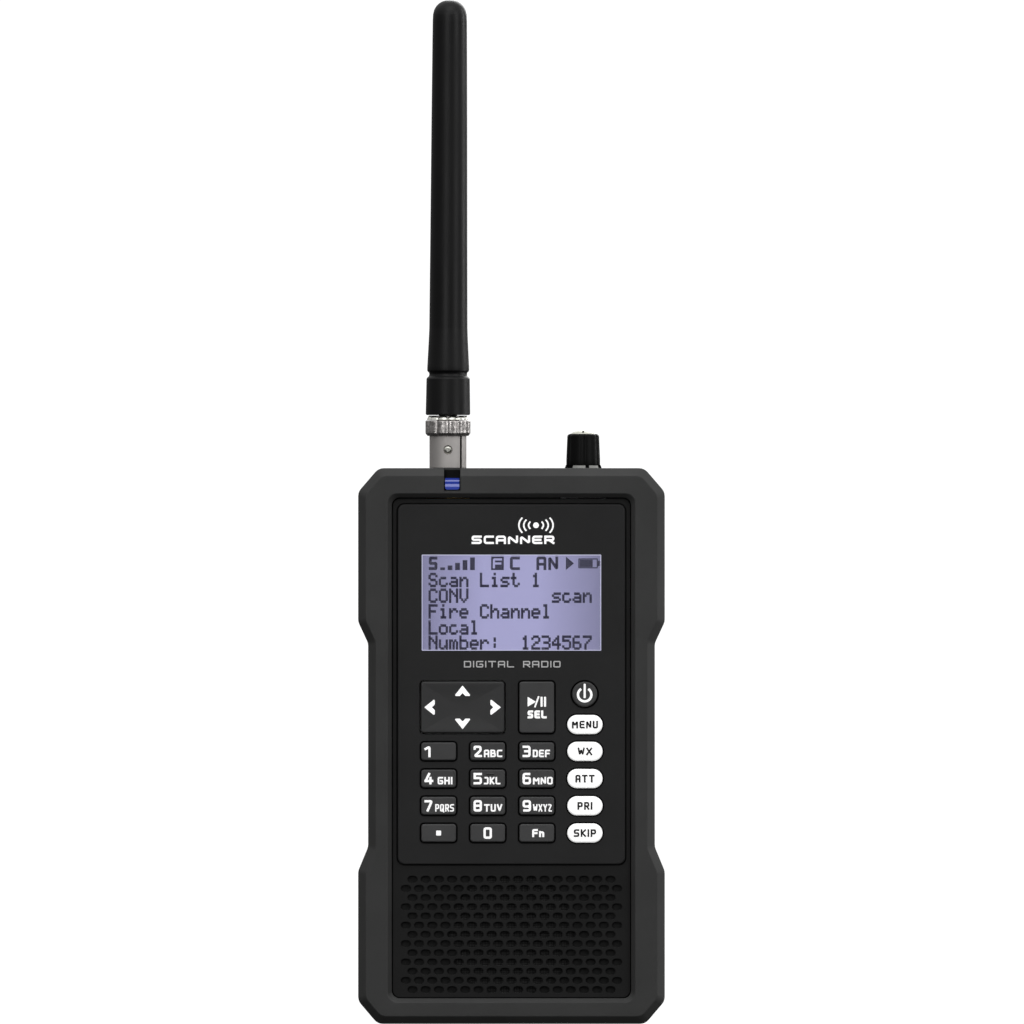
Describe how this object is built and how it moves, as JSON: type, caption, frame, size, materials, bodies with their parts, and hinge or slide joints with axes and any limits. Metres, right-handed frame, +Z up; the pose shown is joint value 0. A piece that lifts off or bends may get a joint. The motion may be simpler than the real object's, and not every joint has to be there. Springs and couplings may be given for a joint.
{
  "type": "police scanner",
  "caption": "Handheld police scanner radio with keypad, backlit display, speaker grille, whip antenna, volume knob, belt clip and battery door.",
  "frame": {"origin": "middle of the flat base that the radio stands on", "axes": "+Z up along the body and antenna, +X to the right of the keypad, +Y towards the back"},
  "size_m": [0.08, 0.0448, 0.2673],
  "materials": {
    "case_plastic": "moulded, fine matt texture",
    "speaker_cloth": "fine woven acoustic cloth",
    "bumper_rubber": "matt rubber overmould",
    "key_plastic": "matt with white printed legends",
    "pill_plastic": "white, backlit, black printed legends",
    "keypad_rubber": "silicone",
    "window": "clear hard-coated window",
    "lcd": "backlit liquid crystal display",
    "nickel": "nickel plated",
    "steel": "plain steel",
    "clip_steel": "black painted spring steel",
    "brass": "plain brass",
    "board": "green solder mask",
    "card_plastic": "black",
    "jack_plastic": "black",
    "speaker_metal": "black painted basket",
    "cell_wrap": "printed-film wrap",
    "light_pipe": "clear blue",
    "antenna_rubber": "satin moulded rubber",
    "knob_plastic": "satin black",
    "bright_metal": "bright plated"
  },
  "bodies": {
    "radio": {"front_case": "case_plastic", "rear_case": "case_plastic", "face_panel": "case_plastic", "speaker_cloth": "speaker_cloth", "bumper_frame": "bumper_rubber", "keypad_mat": "keypad_rubber", "display_lens": "window", "lcd_module": "lcd", "bnc_jack": "nickel", "lcd_frame": "steel", "usb_socket": "steel", "volume_pot": "steel", "battery_contacts_top": "steel", "battery_contacts_bottom": "steel", "clip_pin": "steel", "clip_bracket": "clip_steel", "clip_spring": "clip_steel", "bnc_nut": "brass", "pot_nut": "brass", "main_board": "board", "memory_card": "card_plastic", "audio_jack": "jack_plastic", "speaker": "speaker_metal", "cell_1": "cell_wrap", "cell_2": "cell_wrap", "cell_3": "cell_wrap", "cell_4": "cell_wrap", "alert_light": "light_pipe"},
    "clip": {"clip_lever": "clip_steel"},
    "door": {"battery_door": "case_plastic"},
    "latch": {"door_latch": "key_plastic"},
    "cover": {"port_cover": "bumper_rubber"},
    "knob": {"volume_knob": "knob_plastic", "knob_cap": "bright_metal"},
    "squelch": {"squelch_ring": "knob_plastic"},
    "antenna": {"antenna_sheath": "antenna_rubber", "antenna_helix": "brass", "antenna_plug": "nickel"},
    "coupling": {"coupling_ring": "nickel"},
    "nav_rocker": {"nav_pivot": "case_plastic"},
    "nav": {"nav_pad": "key_plastic"},
    "body_key_1": {"key_1": "key_plastic"},
    "body_key_2": {"key_2": "key_plastic"},
    "body_key_3": {"key_3": "key_plastic"},
    "body_key_4": {"key_4": "key_plastic"},
    "body_key_5": {"key_5": "key_plastic"},
    "body_key_6": {"key_6": "key_plastic"},
    "body_key_7": {"key_7": "key_plastic"},
    "body_key_8": {"key_8": "key_plastic"},
    "body_key_9": {"key_9": "key_plastic"},
    "body_key_dot": {"key_dot": "key_plastic"},
    "body_key_0": {"key_0": "key_plastic"},
    "body_key_fn": {"key_fn": "key_plastic"},
    "body_sel_key": {"sel_key": "key_plastic"},
    "body_power_key": {"power_key": "key_plastic"},
    "body_menu_key": {"menu_key": "pill_plastic"},
    "body_wx_key": {"wx_key": "pill_plastic"},
    "body_att_key": {"att_key": "pill_plastic"},
    "body_pri_key": {"pri_key": "pill_plastic"},
    "body_skip_key": {"skip_key": "pill_plastic"}
  },
  "joints": [
    {"name": "clip_pivot", "type": "hinge", "parent": "radio", "child": "clip", "pos_m": [0, 0.0228, 0.118], "axis": [1, 0, 0], "range_deg": [0, 18], "stiffness_Nm_per_rad": 0.4},
    {"name": "door_hinge", "type": "hinge", "parent": "radio", "child": "door", "pos_m": [0, 0.0174, 0.0086], "axis": [-1, 0, 0], "range_deg": [0, 75]},
    {"name": "latch_slide", "type": "slide", "parent": "door", "child": "latch", "axis": [0, 0, -1], "range_m": [0, 0.0027], "stiffness_N_per_m": 300},
    {"name": "port_cover_hinge", "type": "hinge", "parent": "radio", "child": "cover", "pos_m": [0.0398, 0.0104, 0.1185], "axis": [0, 0, 1], "range_deg": [0, 110]},
    {"name": "volume_turn", "type": "hinge", "parent": "radio", "child": "knob", "pos_m": [0.01875, 0.0035, 0.15], "axis": [0, 0, 1], "range_deg": [-150, 150]},
    {"name": "squelch_turn", "type": "hinge", "parent": "radio", "child": "squelch", "pos_m": [0.01875, 0.0035, 0.1456], "axis": [0, 0, 1], "range_deg": [-150, 150]},
    {"name": "antenna_swivel", "type": "hinge", "parent": "radio", "child": "antenna", "pos_m": [-0.0166, 0.0035, 0.15], "axis": [0, 0, 1], "continuous": true},
    {"name": "coupling_turn", "type": "hinge", "parent": "antenna", "child": "coupling", "pos_m": [-0.0166, 0.0035, 0.15], "axis": [0, 0, 1], "range_deg": [0, 80]},
    {"name": "nav_tilt_up_down", "type": "hinge", "parent": "radio", "child": "nav_rocker", "pos_m": [-0.01275, -0.0139, 0.0826], "axis": [1, 0, 0], "range_deg": [-5, 5], "stiffness_Nm_per_rad": 0.07},
    {"name": "nav_tilt_left_right", "type": "hinge", "parent": "nav_rocker", "child": "nav", "pos_m": [-0.01275, -0.0145, 0.0826], "axis": [0, 0, 1], "range_deg": [-3.5, 3.5], "stiffness_Nm_per_rad": 0.16},
    {"name": "key_1_press", "type": "slide", "parent": "radio", "child": "body_key_1", "axis": [0, 1, 0], "range_m": [0, 0.0008], "stiffness_N_per_m": 1250},
    {"name": "key_2_press", "type": "slide", "parent": "radio", "child": "body_key_2", "axis": [0, 1, 0], "range_m": [0, 0.0008], "stiffness_N_per_m": 1250},
    {"name": "key_3_press", "type": "slide", "parent": "radio", "child": "body_key_3", "axis": [0, 1, 0], "range_m": [0, 0.0008], "stiffness_N_per_m": 1250},
    {"name": "key_4_press", "type": "slide", "parent": "radio", "child": "body_key_4", "axis": [0, 1, 0], "range_m": [0, 0.0008], "stiffness_N_per_m": 1250},
    {"name": "key_5_press", "type": "slide", "parent": "radio", "child": "body_key_5", "axis": [0, 1, 0], "range_m": [0, 0.0008], "stiffness_N_per_m": 1250},
    {"name": "key_6_press", "type": "slide", "parent": "radio", "child": "body_key_6", "axis": [0, 1, 0], "range_m": [0, 0.0008], "stiffness_N_per_m": 1250},
    {"name": "key_7_press", "type": "slide", "parent": "radio", "child": "body_key_7", "axis": [0, 1, 0], "range_m": [0, 0.0008], "stiffness_N_per_m": 1250},
    {"name": "key_8_press", "type": "slide", "parent": "radio", "child": "body_key_8", "axis": [0, 1, 0], "range_m": [0, 0.0008], "stiffness_N_per_m": 1250},
    {"name": "key_9_press", "type": "slide", "parent": "radio", "child": "body_key_9", "axis": [0, 1, 0], "range_m": [0, 0.0008], "stiffness_N_per_m": 1250},
    {"name": "key_dot_press", "type": "slide", "parent": "radio", "child": "body_key_dot", "axis": [0, 1, 0], "range_m": [0, 0.0008], "stiffness_N_per_m": 1250},
    {"name": "key_0_press", "type": "slide", "parent": "radio", "child": "body_key_0", "axis": [0, 1, 0], "range_m": [0, 0.0008], "stiffness_N_per_m": 1250},
    {"name": "key_fn_press", "type": "slide", "parent": "radio", "child": "body_key_fn", "axis": [0, 1, 0], "range_m": [0, 0.0008], "stiffness_N_per_m": 1250},
    {"name": "sel_key_press", "type": "slide", "parent": "radio", "child": "body_sel_key", "axis": [0, 1, 0], "range_m": [0, 0.0008], "stiffness_N_per_m": 1250},
    {"name": "power_key_press", "type": "slide", "parent": "radio", "child": "body_power_key", "axis": [0, 1, 0], "range_m": [0, 0.0008], "stiffness_N_per_m": 1250},
    {"name": "menu_key_press", "type": "slide", "parent": "radio", "child": "body_menu_key", "axis": [0, 1, 0], "range_m": [0, 0.0008], "stiffness_N_per_m": 1250},
    {"name": "wx_key_press", "type": "slide", "parent": "radio", "child": "body_wx_key", "axis": [0, 1, 0], "range_m": [0, 0.0008], "stiffness_N_per_m": 1250},
    {"name": "att_key_press", "type": "slide", "parent": "radio", "child": "body_att_key", "axis": [0, 1, 0], "range_m": [0, 0.0008], "stiffness_N_per_m": 1250},
    {"name": "pri_key_press", "type": "slide", "parent": "radio", "child": "body_pri_key", "axis": [0, 1, 0], "range_m": [0, 0.0008], "stiffness_N_per_m": 1250},
    {"name": "skip_key_press", "type": "slide", "parent": "radio", "child": "body_skip_key", "axis": [0, 1, 0], "range_m": [0, 0.0008], "stiffness_N_per_m": 1250}
  ]
}
